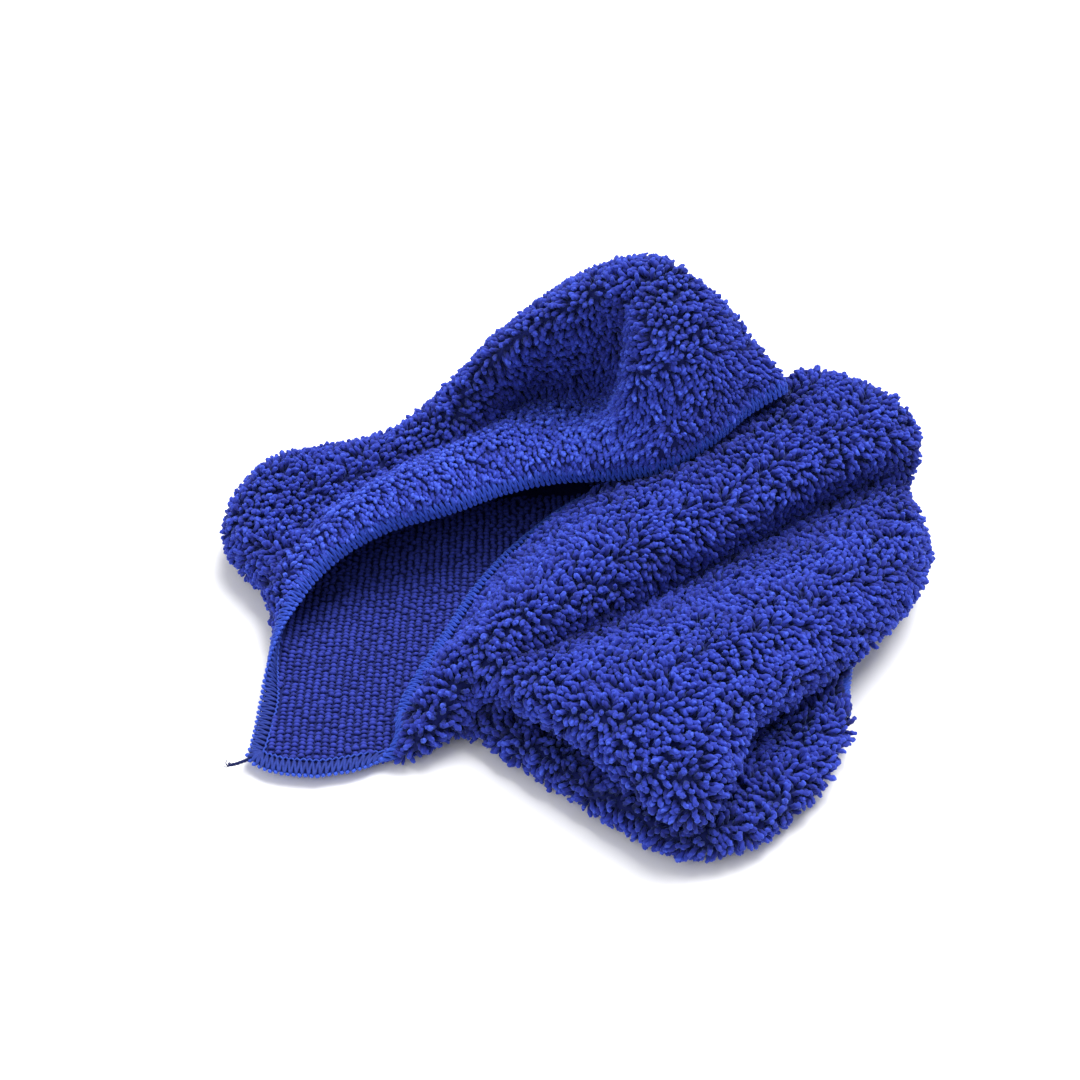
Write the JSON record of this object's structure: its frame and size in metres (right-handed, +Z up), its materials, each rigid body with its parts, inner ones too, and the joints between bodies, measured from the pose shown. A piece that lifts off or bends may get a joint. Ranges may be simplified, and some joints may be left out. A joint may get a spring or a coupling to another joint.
{
  "type": "polishing pad",
  "caption": "Plush microfibre polishing and drying towel, twist-loop pile on one face and short ribs on the other, hemmed edge, lying bunched up.",
  "frame": {"origin": "on the table plane, at a point of the flat pressed pile underneath the middle of the towel", "axes": "+Z up from the table; +X to the right and +Y away as the bunched towel is seen from its gutter side"},
  "size_m": [0.2852, 0.2583, 0.1138],
  "materials": {
    "ground_knit": "dark blue knitted microfibre backing, matt",
    "pile_yarn": "royal blue twisted microfibre loops, soft sheen",
    "rib_yarn": "royal blue short looped ribs, matt",
    "upper_looper": "bright blue polyester seam thread",
    "lower_looper": "bright blue polyester seam thread",
    "needle": "blue polyester seam thread",
    "tail": "dark blue loose thread end"
  },
  "bodies": {
    "root": {"ground_cloth": "ground_knit", "twist_pile": "pile_yarn", "rib_loop_face": "rib_yarn", "upper_looper_thread": "upper_looper", "lower_looper_thread": "lower_looper", "needle_thread": "needle", "thread_tail": "tail"}
  },
  "joints": []
}
